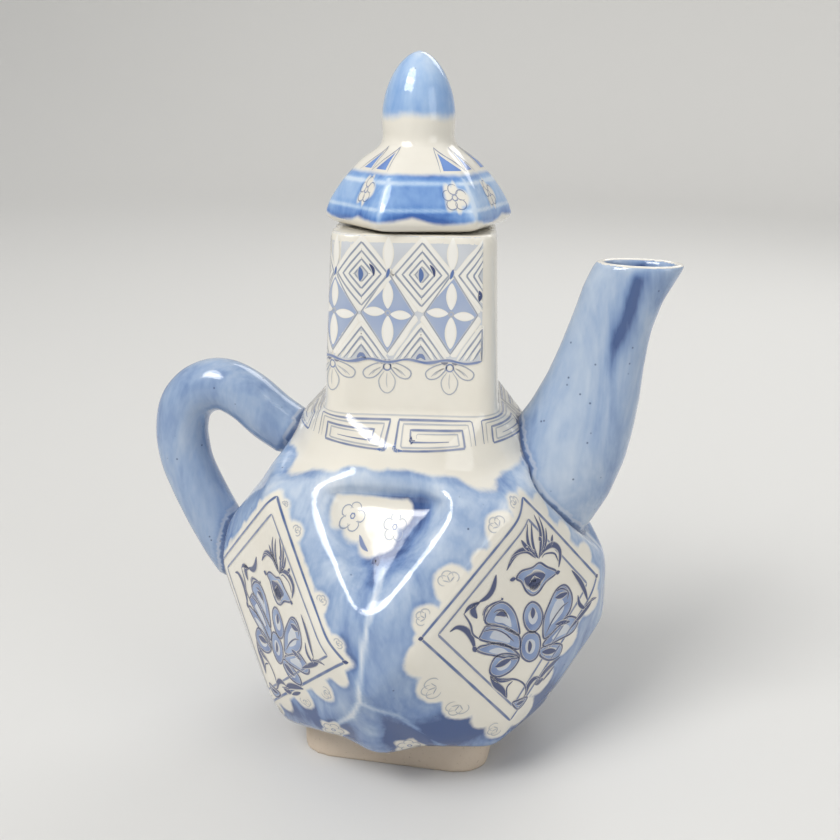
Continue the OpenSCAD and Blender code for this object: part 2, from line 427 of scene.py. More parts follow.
class Skin:
    """A smooth piece as arrays, in millimetres from an upright axis."""

    def __init__(self, ob, axis=AXIS):
        self.me, self.axis = ob.data, np.array(axis)
        self.co = read(self.me.vertices, "co").astype(float) / MM - self.axis
        self.nor = read(self.me.vertices, "normal").astype(float)
        self.tri = read(self.me.polygons, "vertices", 3, np.int32)
        self.tree = BVHTree.FromPolygons(self.co.tolist(), self.tri.tolist())
        self.values = {}

    def paint(self, **values):
        for k, v in values.items():
            self.values[k] = np.broadcast_to(np.asarray(v, float), (len(self.co),)).copy()

    def store(self):
        """The values as attributes of the mesh, with no ink."""
        for k, v in self.values.items():
            a = self.me.attributes.new(k, "FLOAT", "POINT")
            a.data.foreach_set("value", v.astype(np.float32))
        ink = self.me.attributes.new("ink", "FLOAT_COLOR", "POINT")
        ink.data.foreach_set("color", np.zeros(4 * len(self.co), np.float32))

    def ridges(self, low=-0.6):
        """1 where the skin bends outward most, down to low where it bends inward."""
        e = read(self.me.edges, "vertices", 2, np.int32)
        total, count = np.zeros_like(self.co), np.zeros(len(self.co))
        for a, b in ((0, 1), (1, 0)):
            np.add.at(total, e[:, a], self.co[e[:, b]])
            np.add.at(count, e[:, a], 1)
        bend = -((total / count[:, None] - self.co) * self.nor).sum(1)
        for _ in range(14):
            part = np.zeros(len(self.co))
            np.add.at(part, e[:, 0], bend[e[:, 1]])
            np.add.at(part, e[:, 1], bend[e[:, 0]])
            bend = 0.5 * bend + 0.5 * part / count
        return np.clip(bend / max(1e-6, np.percentile(bend, 97)), low, 1)

    def faces_axis(self):
        x, y = self.co[:, 0], self.co[:, 1]
        return (self.nor[:, 0] * x + self.nor[:, 1] * y) / np.maximum(np.hypot(x, y), 1) < -0.2

    def away_from(self, other, reach=12.0):
        """Distance of each point from another skin, in mm, up to reach."""
        out = np.full(len(self.co), reach)
        box_lo, box_hi = other.co.min(0) - reach, other.co.max(0) + reach
        p = self.co + np.array(Vector(self.axis - other.axis))
        for i in np.nonzero(((p > box_lo) & (p < box_hi)).all(1))[0]:
            *_, far = other.tree.find_nearest(p[i].tolist(), reach)
            if far is not None:
                out[i] = far
        return out


def finish_piece(ob, body, mat, nodes=()):
    ob.data.materials.clear()
    ob.data.materials.append(mat)
    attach(ob, body)
    if nodes:
        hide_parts(*nodes)


# ---------------------------------------------------------------- brush
DARK = srgb(30, 54, 108)
MID = srgb(76, 108, 166)
FILL = srgb(142, 166, 206)
PALE = srgb(186, 200, 222)
WHITE = srgb(238, 236, 230)
SLATE = srgb(104, 124, 158)
SLATE_BLUE = srgb(72, 98, 148)
LAVENDER = srgb(158, 174, 202)


def curve(points, gap, closed=False):
    """Points every gap mm along a smooth curve through the given ones."""
    p = np.asarray(points, float).reshape(-1, 2)
    if closed:
        q = np.vstack([p[-1:], p, p[:2]])
    else:
        q = np.vstack([2 * p[:1] - p[1:2], p, 2 * p[-1:] - p[-2:-1]])
    dense = []
    for a, b, c, d in zip(q, q[1:], q[2:], q[3:]):
        for t in np.linspace(0, 1, 12, endpoint=False):
            dense.append(0.5 * (2 * b + (c - a) * t + (2 * a - 5 * b + 4 * c - d) * t * t
                                + (3 * b - a - 3 * c + d) * t ** 3))
    if not closed:
        dense.append(p[-1])
    return even(dense, gap, closed)


def even(points, gap, closed=False):
    """Points every gap mm along straight stretches."""
    p = np.asarray(points, float).reshape(-1, 2)
    if closed:
        p = np.vstack([p, p[:1]])
    s = np.concatenate([[0], np.cumsum(np.hypot(*np.diff(p, axis=0).T))])
    k = max(2, int(math.ceil(s[-1] / gap)))
    at = np.linspace(0, s[-1], k + 1)
    out = np.column_stack([np.interp(at, s, p[:, 0]), np.interp(at, s, p[:, 1])])
    return out[:-1] if closed else out


class Brush:
    """Paints on a skin. place(u, v) gives the start and direction of a ray on to it."""

    ACROSS = (-0.5, -0.3, 0.0, 0.3, 0.5)    # points across a stroke, whose ends are clear

    def __init__(self, skin, name):
        self.skin, self.name, self.place = skin, name, None
        self.verts, self.normals, self.faces, self.inks = [], [], [], []
        self.values = {k: [] for k in skin.values}
        self.tick = 0.0

    def put(self, u, v, lift, colour, alpha):
        """A point of paint, lift mm off the skin; its index, or None off the piece."""
        start, way = self.place(u, v)
        hit, _, index, _ = self.skin.tree.ray_cast(start, way, 200)
        if hit is None:
            return None
        t = self.skin.tri[index]
        w = corner_weights(*(Vector(self.skin.co[i]) for i in t), hit)
        n = sum((Vector(self.skin.nor[i]) * x for i, x in zip(t, w)), Vector()).normalized()
        self.verts.append(hit + n * lift)
        self.normals.append(n)
        self.inks.append((*colour[:3], alpha))
        for k, v in self.skin.values.items():
            self.values[k].append(float(sum(v[i] * x for i, x in zip(t, w))))
        return len(self.verts) - 1

    def ribbon(self, p, widths, tones, colour, lift, flank=1.0):
        """A strip along points, with a width and tone at each; flank is its tone beside
        the middle."""
        d = heading(p)
        side = np.column_stack([-d[:, 1], d[:, 0]])
        rows = []
        for q, s, width, tone in zip(p, side, widths, tones):
            ink = {0.0: tone, 0.3: tone * flank, 0.5: 0.0}
            rows.append([self.put(*(q + s * x * width), lift, colour, ink[abs(x)]) for x in self.ACROSS])
        for a, b in zip(rows, rows[1:]):
            for j in range(len(self.ACROSS) - 1):
                self.face(a[j], b[j], b[j + 1], a[j + 1])

    def line(self, points, width, colour=DARK, ends=(0.25, 0.25), lift=0.07, strength=0.95,
             closed=False, smooth=True, wobble=0.22):
        """A stroke of about one width, thinner towards its ends."""
        if closed and not smooth:       # start and stop in the middle of an edge
            start = (np.asarray(points[0], float) + points[1]) / 2
            points = [start, *points[1:], points[0]]
        p = curve(points, 0.8, closed) if smooth else even(points, 0.8, closed)
        if closed:
            p = np.vstack([p, p[:1]])
        self.tick += 7.3
        widths, tones = [], []
        for i in range(len(p)):
            t = i / (len(p) - 1)
            grow = 1.0
            for left, end in ((t, ends[0]), (1 - t, ends[1])):
                if left < end and not closed:
                    grow = min(grow, 0.25 + 0.75 * math.sin(math.pi / 2 * left / end))
            hand = noise.noise(Vector((self.tick, i * 0.17, 0)))
            widths.append(width * grow * (1 + wobble * hand))
            tones.append(min(1, strength * (1 + 0.18 * noise.noise(Vector((self.tick + 31, i * 0.21, 0))))))
        self.ribbon(p, widths, tones, colour, lift, 0.92)

    def leaf(self, points, width, colour=DARK, lift=0.07, strength=0.95):
        """A stroke that swells from a point and ends in one."""
        p = curve(points, 0.6)
        t = [i / (len(p) - 1) for i in range(len(p))]
        widths = [width * (0.12 + 0.88 * math.sin(math.pi * s) ** 0.8) for s in t]
        self.ribbon(p, widths, [strength] * len(p), colour, lift)

    def fill(self, outline, colour=FILL, shade=None, lift=0.045, strength=0.9, smooth=True, gap=1.0):
        """A washed area: shade is the colour it drifts to."""
        edge = curve(outline, 0.7, True) if smooth else even_corners(outline, 0.9)
        lo, hi = edge.min(0), edge.max(0)
        pts = [Vector(q) for q in edge]
        n = len(pts)
        for x in np.arange(lo[0] + gap / 2, hi[0], gap):
            for y in np.arange(lo[1] + gap / 2, hi[1], gap):
                if inside((x, y), edge) and np.hypot(*(edge - (x, y)).T).min() > gap * 0.45:
                    pts.append(Vector((x, y)))
        out = geometry.delaunay_2d_cdt(pts, [(i, (i + 1) % n) for i in range(n)], [], 1, 1e-5)
        self.tick += 3.1
        index = []
        for q in out[0]:
            t = 0.5 + 0.9 * noise.noise(Vector((q.x * 0.16, q.y * 0.16, self.tick)))
            t = min(1, max(0, t))
            c = [a + (b - a) * t for a, b in zip(colour, shade or colour)]
            index.append(self.put(q.x, q.y, lift, c, strength))
        for f in out[2]:
            self.face(*(index[i] for i in f))

    def face(self, *index):
        """A face turned to the outside, unless one of its points missed the piece."""
        if None not in index and len(set(index)) == len(index):
            a, b, c = (self.verts[i] for i in index[:3])
            inward = (b - a).cross(c - a).dot(self.normals[index[0]]) < 0
            self.faces.append(tuple(reversed(index)) if inward else tuple(index))

    def build(self):
        me = bpy.data.meshes.new(self.name)
        shift = Vector(self.skin.axis)
        me.from_pydata([(v + shift) * MM for v in self.verts], [], self.faces)
        me.shade_smooth()
        ink = me.attributes.new("ink", "FLOAT_COLOR", "POINT")
        ink.data.foreach_set("color", np.array(self.inks, np.float32).ravel())
        for k, v in self.values.items():
            me.attributes.new(k, "FLOAT", "POINT").data.foreach_set("value", np.array(v, np.float32))
        me.normals_split_custom_set_from_vertices([tuple(n) for n in self.normals])
        return add(self.name, me)


def corner_weights(a, b, c, p):
    """Weights of the corners of a triangle at a point on it."""
    ab, ac, ap = b - a, c - a, p - a
    d00, d01, d11, d20, d21 = ab.dot(ab), ab.dot(ac), ac.dot(ac), ap.dot(ab), ap.dot(ac)
    den = d00 * d11 - d01 * d01
    if abs(den) < 1e-12:
        return 1.0, 0.0, 0.0
    v, w = (d11 * d20 - d01 * d21) / den, (d00 * d21 - d01 * d20) / den
    return 1 - v - w, v, w


def even_corners(points, gap):
    """Points along a polygon's edges that keep its corners."""
    p = np.asarray(points, float).reshape(-1, 2)
    out = []
    for a, b in zip(p, np.roll(p, -1, 0)):
        k = max(1, int(math.ceil(np.hypot(*(b - a)) / gap)))
        out += [a + (b - a) * i / k for i in range(k)]
    return np.array(out)


def inside(q, poly):
    x, y = q
    a, b = poly, np.roll(poly, -1, 0)
    cross = (a[:, 1] > y) != (b[:, 1] > y)
    with np.errstate(divide="ignore", invalid="ignore"):
        at = a[:, 0] + (y - a[:, 1]) / (b[:, 1] - a[:, 1]) * (b[:, 0] - a[:, 0])
    return bool(np.count_nonzero(cross & (x < at)) % 2)


def turn(x, y, degrees):
    a = math.radians(degrees)
    return x * math.cos(a) - y * math.sin(a), x * math.sin(a) + y * math.cos(a)


def turned(v, degrees):
    return Vector((*turn(v[0], v[1], degrees), v[2]))


def line_distance(u, v, points):
    """Distance of each of many points from a line of straight stretches."""
    best = np.full(u.shape, 1e9)
    for (ax, ay), (bx, by) in zip(points, points[1:]):
        ex, ey = bx - ax, by - ay
        t = np.clip(((u - ax) * ex + (v - ay) * ey) / (ex * ex + ey * ey), 0, 1)
        best = np.minimum(best, np.hypot(u - ax - ex * t, v - ay - ey * t))
    return best


def polygon_distance(u, v, corners):
    """Distance from a polygon's edge, negative inside, for arrays of points."""
    c = np.asarray(corners, float)
    c = np.vstack([c, c[:1]])
    crossed = np.zeros(u.shape, int)
    for (ax, ay), (bx, by) in zip(c, c[1:]):
        if by != ay:
            between = (ay > v) != (by > v)
            crossed += between & (u < ax + (v - ay) / (by - ay) * (bx - ax))
    return np.where(crossed % 2 == 1, -1, 1) * line_distance(u, v, c)


# Strokes of the flower on a panel: u to the right and v up from the panel's middle, mm
LEAVES = [
    (1.3, [6.2, 33.1, 5.7, 29.5, 6.7, 25.5, 9.6, 21.3]),
    (1.2, [8.1, 33.2, 7.8, 28.6, 8.6, 24.7, 10.4, 21.3]),
    (1.5, [10.5, 34.6, 11.9, 30.2, 11.7, 25.2, 10.9, 20.3]),
    (1.2, [12.9, 33.4, 13.6, 29.0, 13.0, 24.9, 11.3, 21.2]),
    (1.2, [15.2, 29.3, 14.6, 26.2, 13.3, 23.6, 11.6, 21.8]),
    (2.4, [10.6, 20.7, 8.0, 23.4, 3.9, 24.9, 0.5, 23.6, -2.2, 19.4]),
    (1.6, [8.1, 23.3, 5.3, 25.8, 3.2, 28.6]),
    (2.2, [11.1, 20.9, 13.5, 22.9, 17.6, 23.3, 20.7, 20.4, 19.7, 15.2]),
    (1.5, [16.8, 23.2, 17.5, 25.2, 18.2, 26.3]),
    (2.6, [-6.4, 19.0, -7.4, 14.6, -9.4, 12.2, -12.9, 11.1]),
    (2.8, [-12.4, 11.0, -14.4, 10.4, -15.1, 8.6, -13.3, 5.6]),
    (1.8, [-12.9, 11.1, -16.6, 10.3, -18.4, 8.6]),
    (1.8, [-9.2, 9.2, -10.3, 7.3, -11.2, 6.1]),
    (2.4, [-23.8, 3.8, -21.1, 4.6, -17.8, 2.8, -15.3, -0.7, -13.5, -5.8]),
    (2.0, [25.9, 12.4, 29.7, 7.7, 32.2, 3.2, 33.6, -0.7]),
    (1.6, [28.8, 2.8, 29.8, -0.7, 32.4, -2.9, 33.3, -0.9]),
    (2.0, [38.6, -1.1, 35.8, -0.9, 33.8, -3.1, 29.2, -6.8, 26.1, -9.2]),
    (2.6, [-7.2, -16.7, -5.1, -20.3, -2.1, -23.5, 0.1, -27.1]),
    (1.8, [-7.2, -16.7, -3.3, -19.5, 2.8, -20.9]),
    (2.2, [8.4, -28.8, 9.2, -25.4, 11.4, -23.6, 14.3, -23.8]),
    (2.6, [13.4, -26.0, 16.4, -22.8, 20.5, -20.8, 23.9, -19.8]),
    (1.6, [16.6, -26.6, 19.2, -24.6, 21.7, -22.6]),
    (3.0, [12.4, -26.2, 14.5, -25.9, 16.6, -25.6]),
]
PETALS = [
    [1.9, 15.6, 3.8, 17.7, 8.3, 17.9, 11.2, 18.9, 14.4, 16.7, 18.8, 13.7, 14.3, 11.3, 11.6, 8.5,
     8.9, 7.9, 6.2, 10.1, 4.0, 13.9],
    [9.2, 5.5, 12.2, 3.1, 13.8, -0.9, 12.7, -4.5, 9.6, -5.7, 6.7, -2.9, 5.5, 1.4, 6.7, 4.6],
    [9.1, -5.3, 12.5, -7.6, 13.4, -11.9, 12.0, -15.6, 8.9, -16.2, 5.8, -13.6, 4.8, -9.4, 5.9, -6.0],
    [4.2, -4.9, 2.7, 1.7, -0.1, 6.3, -3.8, 8.8, -7.7, 7.9, -10.2, 3.9, -7.2, 1.3, -3.2, -0.2, 0.9, -3.1],
    [4.3, -5.9, 0.9, -2.6, -4.2, 0.5, -9.0, 2.1, -11.5, -0.5, -11.9, -2.2, -6.9, -4.8, -0.9, -7.8,
     4.3, -10.2],
    [4.4, -12.4, -0.9, -7.4, -6.9, -5.0, -12.9, -5.4, -10.2, -7.7, -4.7, -10.2, 0.4, -12.6, 3.9, -13.4],
    [4.2, -13.0, -0.7, -10.5, -4.9, -10.2, -7.1, -12.6, -7.2, -15.8, -3.9, -18.0, 0.6, -17.6, 3.7, -15.4],
    [14.5, -8.8, 14.3, -2.3, 16.1, 2.5, 19.2, 7.4, 23.0, 8.0, 26.1, 3.5, 25.6, -1.8, 21.1, -6.4, 16.6, -9.2],
    [14.8, -11.0, 19.6, -7.4, 24.7, -4.1, 29.7, -6.7, 28.2, -10.7, 22.0, -11.7, 15.8, -12.6],
    [13.2, -13.2, 15.7, -12.4, 20.5, -12.9, 23.5, -14.8, 23.0, -18.5, 18.2, -18.6, 13.9, -15.8],
    [2.5, -29.9, 5.3, -29.6, 9.5, -30.1, 8.1, -32.6, 5.5, -33.4],
]
THIN = [
    (0.7, [-6.9, 5.8, -5.0, 6.3, -2.5, 5.2, -0.8, 2.2]),
    (0.7, [-11.0, 0.3, -6.6, -0.1, -2.1, -2.7, 2.1, -6.9]),
    (0.7, [-10.6, 1.9, -6.2, 1.1, -1.2, -1.2]),
    (0.7, [18.7, 6.7, 21.3, 7.2, 24.3, 5.3, 24.2, 2.6]),
    (0.7, [15.5, -8.0, 18.3, -3.4, 21.8, 0.1, 24.8, 1.5]),
    (0.7, [16.6, -9.7, 20.6, -6.7, 25.9, -5.5]),
    (0.8, [-1.3, 21.5, 0.5, 23.7, 5.5, 23.9, 9.6, 20.9]),
    (0.7, [12.2, 20.4, 13.6, 21.4, 17.8, 20.4, 19.5, 17.4]),
    (0.8, [-10.7, 4.0, -10.3, 7.3, -8.3, 8.9, -3.8, 9.5]),
    (0.8, [-18.7, 8.7, -15.9, 4.2, -14.8, 0.5, -11.9, -2.2]),
    (0.7, [-3.3, -19.5, 2.8, -20.9, 7.1, -24.1, 8.3, -28.1, 6.4, -30.5]),
    (0.7, [0.1, -27.1, -0.1, -23.2, 2.3, -21.4]),
    (0.7, [11.5, -26.1, 14.4, -24.5, 12.2, -22.9]),
    (0.8, [-13.6, -5.7, -11.8, -4.7, -8.8, -5.1]),
    (0.7, [32.2, -2.8, 34.8, -1.3, 38.0, -1.0]),
]
DARK_SPOTS = [
    (7.0, [5.2, 14.7, 8.5, 13.4, 13.9, 14.0]),
    (6.0, [7.1, 11.8, 10.1, 11.9, 12.1, 12.7]),
    (2.6, [9.1, 3.5, 9.5, 1.4, 9.5, -0.6]),
    (2.4, [8.5, -8.5, 8.9, -10.6, 8.7, -12.9]),
    (3.0, [-5.3, -14.0, -2.1, -13.5, 1.2, -13.0]),
    (3.0, [14.3, -14.3, 17.8, -15.0, 20.7, -15.7]),
    (2.6, [18.8, 4.4, 21.8, 4.6, 24.1, 5.0]),
    (2.2, [19.5, -5.5, 22.9, -5.7, 25.9, -6.2]),
    (2.4, [-5.9, 4.7, -3.6, 4.7, -1.4, 3.2]),
    (2.0, [1.7, 15.7, 0.2, 15.7, -0.8, 15.7]),
    (2.0, [18.2, 13.5, 19.5, 13.5, 20.3, 13.7]),
    (1.6, [-4.0, 9.5, -3.7, 9.8, -3.1, 9.9]),
    (2.2, [-14.7, -3.9, -13.9, -5.1, -13.1, -6.2]),
    (2.0, [4.4, -31.0, 6.1, -31.1, 8.0, -31.0]),
    (1.8, [10.9, 27.6, 11.6, 26.8, 12.1, 26.0]),
]

# Corners of the drawn frame on each panel: top, right, bottom, left
FRAMES = [
    [(7.5, 40.4), (39.3, 6.2), (2.7, -37.0), (-34.2, 4.0)],
    [(4.2, 37.7), (44.0, -4.5), (-3.6, -42.1), (-38.6, -1.3)],
    [(5.0, 38.5), (38.5, 2.0), (1.0, -38.0), (-36.5, 1.0)],
    [(-3.0, 39.0), (37.5, 3.0), (3.0, -38.5), (-37.0, -1.5)],
]
PANEL_Z = 63.4
RAY_START = 100         # mm from the axis, outside the whole pot
BARE = -20              # wash of skin that stays without blue


# ---------------------------------------------------------------- places on the pot
def panel_place(j):
    """Panel 0 is the front one next to the spout; the rest follow clockwise from above."""
    def place(u, v):
        e, n = Vector((0.7071, 0.7071, 0)), Vector((0.7071, -0.7071, 0))
        start = turned(e * u + n * RAY_START + Vector((0, 0, PANEL_Z + v)), -90 * j)
        return start, -turned(n, -90 * j)
    return place


def front_place(k):
    """u is sideways and v is height on the k-th of the four sides, 0 at the front."""
    def place(u, v):
        return turned(Vector((u, -RAY_START, v)), 90 * k), turned(Vector((0, 1, 0)), 90 * k)
    return place


def round_place(u, v):
    """u is degrees round the axis, v is height."""
    a = math.radians(u)
    way = Vector((math.cos(a), math.sin(a), 0))
    return way * RAY_START + Vector((0, 0, v)), -way


NECK_HALF, NECK_ROUND, NECK_TURN = 27.4, 8.0, 9.0   # half width, corner radius, twist in degrees
NECK_START = -4.3       # from the middle of its front face to where the lattice counts from


def neck_place(u, v):
    """u runs round the square neck in mm, 0 near the middle of the front."""
    flat, arc = 2 * (NECK_HALF - NECK_ROUND), math.pi / 2 * NECK_ROUND
    u += flat / 2 + NECK_START
    k = math.floor(u / (flat + arc))
    u -= k * (flat + arc)
    if u <= flat:
        p, n = Vector((u - flat / 2, -NECK_HALF, v)), Vector((0, -1, 0))
    else:
        a = (u - flat) / NECK_ROUND
        n = Vector((math.sin(a), -math.cos(a), 0))
        p = Vector((flat / 2, -flat / 2, v)) + n * NECK_ROUND
    p, n = turned(p, 90 * k + NECK_TURN), turned(n, 90 * k + NECK_TURN)
    return p + n * 60, -n


KEY_MM = math.radians(1) * 34   # arc length of a degree round the shoulder


def key_place(u, v):
    """u is mm round the shoulder, v is height."""
    return round_place(u / KEY_MM, v)


LID_FRONT, LID_STEP = -73, 2.0      # direction of the lid's front face, and degrees per mm


def lid_place(u, v):
    """u is mm round the lid at its band, 0 in the middle of the front face."""
    return round_place(LID_FRONT + u * LID_STEP, v)


def panel_coords(co, j):
    """Panel coordinates of each point, and how far out it lies on panel j's side."""
    x, y = turn(co[:, 0], co[:, 1], 90 * j)
    return (x + y) / math.sqrt(2), co[:, 2] - PANEL_Z, (x - y) / math.sqrt(2)


# ---------------------------------------------------------------- washes
# Bumps of the white margin round a frame: edge, place along it, mm outward, radius.
# Edges run clockwise from the top corner; the last two lie next to the front ridge.
BUMPS = [(0, 0.2, 1.5, 4.5), (0, 0.5, 1.5, 4.2), (0, 0.8, 1.5, 4.5),
         (1, 0.15, 2, 5), (1, 0.42, 2.5, 5.5), (1, 0.7, 3, 6), (1, 0.92, 4, 6),
         (2, 0.04, 2.5, 6.5), (2, 0.2, 3, 6.2), (2, 0.42, 4.6, 8.2), (2, 0.66, 5, 8.8), (2, 0.88, 3.5, 7),
         (3, 0.1, 1.4, 5.4), (3, 0.34, 2.6, 6.4), (3, 0.55, 1, 3.6), (3, 0.76, 2.2, 5.8), (3, 0.93, 1.2, 3.8)]
LACE = (1.0, 0.62, 0.9, 0.75)       # how far the bumps reach on each panel
MARGIN = 2.2                        # white outside a frame, mm
# Lines down the front where the glaze thins on a ridge, painted paler also as a highlight along it: (across,
# height), width, paleness
RIDGES = [([(2.2, 85), (-0.7, 66), (-2.8, 44), (-6.8, 35), (-17.7, 23)], 1.0, 1.5),
          ([(-2.8, 44), (8.7, 38), (21.5, 20)], 1.0, 0.9)]
# Lobes of the white triangle in a sunken one, and flowers on a tongue: across, height, radius
LOBES = [(-12.5, 100, 5.0), (-6.5, 98.5, 5.8), (-0.5, 98.5, 5.8), (4.0, 100, 4.6), (-8, 95.5, 4.6),
         (-0.5, 94, 5.0), (-3.0, 91.5, 4.0)]
TONGUE_FLOWERS = [(-15, 24), (10.5, 20.5)]
FLOWER_R = 3.4


def facing(j):
    """A panel's frame as seen with the front ridge on its left, and the side to flip."""
    flip = -1 if j % 2 else 1
    order = (0, 3, 2, 1) if j % 2 else (0, 1, 2, 3)
    return np.array([FRAMES[j][i] for i in order], float) * (flip, 1), flip


def beside(corners, edge, along, out):
    """A point outside one edge of a frame."""
    a, b = corners[edge], corners[(edge + 1) % 4]
    d = (b - a) / np.hypot(*(b - a))
    return a + (b - a) * along + np.array([-d[1], d[0]]) * out


def white_margins(co):
    """Distance of each point from the white round the four frames, negative in it."""
    white = np.full(len(co), 99.0)
    for j in range(4):
        u, v, out = panel_coords(co, j)
        corners, flip = facing(j)
        d = polygon_distance(u * flip, v, corners) - MARGIN
        for edge, along, far, r in BUMPS:
            cu, cv = beside(corners, edge, along, far * LACE[j])
            d = np.minimum(d, np.hypot(u * flip - cu, v - cv) - r * LACE[j])
        white = np.where(out > np.abs(u), np.minimum(white, d), white)
    return white


def pot_wash(skin):
    co, nor = skin.co, skin.nor
    x, y, z = co.T
    angle = np.degrees(np.arctan2(y, x))
    from_side = (angle + 90 + 45) % 90 - 45
    # the blue starts in a wavy line below the shoulder
    waves = 1.0 * np.sin(np.radians(angle * 9)) + 0.7 * np.sin(np.radians(angle * 17 + 40))
    top = 114.6 - 6.5 * (np.abs(from_side) / 45) ** 0.8 + waves
    wash = np.minimum(top - z, white_margins(co))
    thin = np.zeros(len(co))
    # the blue varies round the pot; painted shade makes it lighter higher up and darker lower down
    deep = 0.28 + 0.10 * np.sin(np.radians(angle * 4 + 60)) - 0.08 * np.clip((z - 60) / 50, -1, 1)
    for k in range(4):
        t, f = turn(x, y, -90 * k)      # across this side, and out of it below 0
        front = (f < -28) & (np.abs(t) < -f)
        # a white scalloped triangle in the sunken one
        d = np.full(len(co), 99.0)
        for cu, cv, r in LOBES:
            d = np.minimum(d, np.hypot(t - cu, z - cv) - r)
        hollow = front & (np.abs(t) < 20) & (z > 84) & (z < 104.5)
        wash = np.where(hollow, np.minimum(wash, np.maximum(d, z - 103.4)), wash)
        # white flowers at the lower corners of the tongue
        for cu, cv in TONGUE_FLOWERS:
            lumps = 4.4 + 0.9 * np.cos(5 * np.arctan2(z - cv, t - cu))
            wash = np.where(front & (z < 34), np.minimum(wash, np.hypot(t - cu, z - cv) - lumps), wash)
        # pale lines on the front ridges: thinned glaze and a painted highlight
        for line, wide, pale in RIDGES:
            glow = pale * np.exp(-(line_distance(t, z, line) / wide) ** 2)
            thin = np.where(front, np.maximum(thin, glow), thin)
        # painted shade: darker blue low on the tongue near the foot, and in the sunken triangle, more so
        # towards its right side
        foot_shade = np.exp(-((z - 26) / 7) ** 2) * np.clip((np.abs(t + 2) - 3) / 5, 0, 1)
        deep += np.where(front, 0.58 * foot_shade, 0)
        hollow_shade = np.clip((106 - z) / 2, 0, 1) * np.clip((z - 76) / 3, 0, 1) * np.clip(
            (18 * (z - 76) / 29 - np.abs(t - 1)) / 2.5, 0, 1)
        deep += np.where(front, hollow_shade * (0.16 + 0.016 * np.clip(t, -10, 12)), 0)
    # no wash on the neck, inside the pot, on its floor or on the underside of its shoulder
    floor = (nor[:, 2] > 0.5) & (z < 40)
    ceiling = (nor[:, 2] < -0.5) & (z > 70) & (np.hypot(x, y) < 36)
    wash = np.where((z > 124) | skin.faces_axis() | floor | ceiling, BARE, wash)
    # painted shade: darker still towards the foot
    deep += np.where(z < 22, 0.3 * np.clip((22 - z) / 6, 0, 1), 0)
    skin.paint(wash=wash, deep=deep, edge=np.maximum(skin.ridges() * 0.35, thin))


LID_CORNER = -43.0      # direction of one of the lid's six soft corners, degrees
LID_FLOWERS = [(-24.5, 197.8), (9.5, 196.4), (29.5, 196.6), (58, 197), (90, 196.5), (122, 197)]
BAND_TOP, WAIST_Z = 202.9, 213      # heights: of the painted band, and under the finial


def lid_wash(skin):
    x, y, z = skin.co.T
    angle = np.degrees(np.arctan2(y, x))
    scallops = 1.6 * np.abs(np.sin(np.radians((angle - LID_CORNER) * 4.5)))
    low = 189.9 - scallops + 0.6 * np.sin(np.radians(angle * 3))
    wash = np.minimum(z - low, BAND_TOP - z)
    # white flowers painted across the band
    for u, h in LID_FLOWERS:
        gap = (angle - LID_FRONT - u * LID_STEP + 180) % 360 - 180
        lumps = 3.9 + 0.8 * np.cos(5 * np.arctan2(z - h, gap))
        flower = np.hypot(gap / LID_STEP, z - h) - lumps
        wash = np.minimum(wash, np.where(np.abs(gap) < 40, flower, 9))
    underside = (skin.nor[:, 2] < -0.5) & (z < 190)
    wash = np.where((skin.faces_axis() & (z < 212)) | underside, BARE, wash)
    # the finial is dipped in blue, fading out above its waist
    wash = np.where(z > WAIST_Z, (z - 220.0 - 0.5 * np.sin(np.radians(angle * 3))) * 0.45, wash)
    deep = 0.28 + 0.46 * np.clip((195 - z) / 6, 0, 1) + 0.12 * np.sin(np.radians(angle * 3))
    deep = np.where(z > 200.6, 0.3, deep)
    deep = np.where(z > WAIST_Z, 0.04 + 0.22 * np.exp(-((z - 227) / 7) ** 2), deep)
    # the glaze thins on the lid's two edges and six corners
    corner = (angle - LID_CORNER + 30) % 60 - 30
    edge = skin.ridges() * 0.4
    for d, wide in ((z - 200.4, 0.7), (z - 192.6, 0.6), (corner * 0.5, 1.0)):
        edge = np.where(z < 202, np.maximum(edge, 1.1 * np.exp(-(d / wide) ** 2)), edge)
    skin.paint(wash=wash, deep=deep, edge=edge)


def tube_washes(body, tube, loop):
    """All blue, deeper where it meets the body, with what each part does to the seams."""
    seam = np.full(len(body.co), 9.0)
    for part in (tube, loop):
        seam = np.minimum(seam, body.away_from(part, 8))
        touch = part.away_from(body, 8)
        deep = 0.32 + 0.2 * np.clip((4 - touch) / 3, 0, 1)
        part.paint(wash=9.0, deep=deep, edge=part.ridges(-1) * 0.4, seam=touch)
    body.paint(seam=seam)
    # a dark streak under the spout's lip, a pale one under that, and a bare lip
    x, _, z = tube.co.T
    streak = np.exp(-(((x - 70.5 - (z - 160) * 0.25) / 3.2) ** 2))
    streak *= np.clip((z - 138) / 15, 0, 1) * np.clip((176 - z) / 4, 0, 1)
    tube.values["deep"] += 0.6 * streak - 0.12 * np.exp(-(((x - 60 - (z - 130) * 0.22) / 3.5) ** 2))
    tube.values["wash"] = np.where(z > 175.4, -5, 9.0)
    # the handle darkens outward and down
    x, _, z = loop.co.T
    loop.values["deep"] += 0.15 * np.clip((-x - 56) / 30, -0.5, 1) * np.clip((118 - z) / 20, 0, 1)


# ---------------------------------------------------------------- brushwork
def ring_points(cx, cy, rx, ry, n=10, start=0, sweep=360):
    """n points round an oval, or n + 1 along a part of it, from start in degrees."""
    turns = [math.radians(start + sweep * i / n) for i in range(n if sweep == 360 else n + 1)]
    return [(cx + rx * math.cos(a), cy + ry * math.sin(a)) for a in turns]


